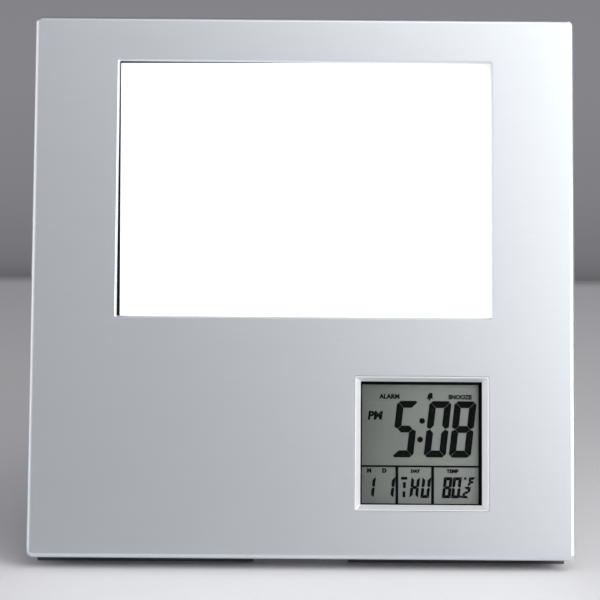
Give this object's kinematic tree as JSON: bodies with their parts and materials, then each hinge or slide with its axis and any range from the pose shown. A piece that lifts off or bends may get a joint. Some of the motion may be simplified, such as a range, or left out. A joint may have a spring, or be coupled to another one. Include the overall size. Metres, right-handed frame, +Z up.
{
  "type": "digital photo frame",
  "caption": "Square desk photo frame with a satin aluminium face, a clock, calendar and thermometer display, and a black moulded back with a folding easel leg.",
  "frame": {"origin": "middle of the footprint, on the table", "axes": "+X to the right as seen from the front, +Y towards the back, +Z up"},
  "size_m": [0.178, 0.073, 0.1757],
  "materials": {
    "aluminium": "satin anodised, fine horizontal grain",
    "clear_glass": "clear polished",
    "grey_plastic": "moulded",
    "photo_paper": "smooth white",
    "foam": "closed-cell foam",
    "black_plastic": "fine moulded texture",
    "silver_plastic": "satin silver paint",
    "clear_plastic": "clear polished",
    "display_glass": "grey-green liquid crystal",
    "white_plastic": "moulded",
    "rubber": "moulded",
    "circuit_board": "green solder mask",
    "black_epoxy": "smooth",
    "steel": "nickel plated",
    "brass": "rolled",
    "battery_wrap": "printed sleeve",
    "red_insulation": "extruded",
    "black_insulation": "extruded"
  },
  "bodies": {
    "frame": {"alarm_slide_switch": "steel", "battery": "battery_wrap", "battery_contact": "steel", "battery_lead_black": "black_insulation", "battery_lead_red": "red_insulation", "battery_spring": "steel", "board_screw_1": "steel", "board_screw_2": "steel", "board_screw_3": "steel", "board_screw_4": "steel", "buzzer_disc": "brass", "chassis": "grey_plastic", "clock_bezel": "silver_plastic", "clock_board": "circuit_board", "clock_chip": "black_epoxy", "contact_strip_bottom": "rubber", "contact_strip_top": "rubber", "display_holder": "white_plastic", "display_lens": "clear_plastic", "display_panel": "display_glass", "down_switch": "black_epoxy", "foot_left": "rubber", "foot_right": "rubber", "front_cover": "aluminium", "hinge_pin": "steel", "housing_screw_1": "steel", "housing_screw_2": "steel", "housing_screw_3": "steel", "housing_screw_4": "steel", "housing_screw_5": "steel", "housing_screw_6": "steel", "mode_switch": "black_epoxy", "photo_pad": "foam", "photo_tray": "black_plastic", "quartz_crystal": "steel", "rear_housing": "black_plastic", "set_switch": "black_epoxy", "temperature_sensor": "black_epoxy", "tray_screw_1": "steel", "tray_screw_2": "steel", "tray_screw_3": "steel", "tray_screw_4": "steel", "up_switch": "black_epoxy", "window_pane": "clear_glass"},
    "leg": {"leg": "black_plastic", "leg_shoe": "rubber"},
    "photo": {"photo_card": "photo_paper"},
    "battery_door": {"battery_door": "black_plastic"},
    "mode_button": {"mode_button": "black_plastic"},
    "set_button": {"set_button": "black_plastic"},
    "up_button": {"up_button": "black_plastic"},
    "down_button": {"down_button": "black_plastic"},
    "alarm_knob": {"alarm_knob": "silver_plastic"}
  },
  "joints": [
    {"name": "leg_hinge", "type": "hinge", "parent": "frame", "child": "leg", "pos_m": [0, 0.0066, 0.11782], "axis": [1, 0, 0], "range_deg": [-28, 0]},
    {"name": "photo_slide", "type": "slide", "parent": "frame", "child": "photo", "axis": [0, 0.2588, 0.9659], "range_m": [0, 0.105]},
    {"name": "battery_door_slide", "type": "slide", "parent": "frame", "child": "battery_door", "axis": [-1, 0, 0], "range_m": [0, 0.062]},
    {"name": "mode_button_press", "type": "slide", "parent": "frame", "child": "mode_button", "axis": [0, -0.9659, 0.2588], "range_m": [0, 0.0007], "stiffness_N_per_m": 600, "springref_m": -0.0005},
    {"name": "set_button_press", "type": "slide", "parent": "frame", "child": "set_button", "axis": [0, -0.9659, 0.2588], "range_m": [0, 0.0007], "stiffness_N_per_m": 600, "springref_m": -0.0005},
    {"name": "up_button_press", "type": "slide", "parent": "frame", "child": "up_button", "axis": [0, -0.9659, 0.2588], "range_m": [0, 0.0007], "stiffness_N_per_m": 600, "springref_m": -0.0005},
    {"name": "down_button_press", "type": "slide", "parent": "frame", "child": "down_button", "axis": [0, -0.9659, 0.2588], "range_m": [0, 0.0007], "stiffness_N_per_m": 600, "springref_m": -0.0005},
    {"name": "alarm_knob_slide", "type": "slide", "parent": "frame", "child": "alarm_knob", "axis": [1, 0, 0], "range_m": [0, 0.003]}
  ]
}
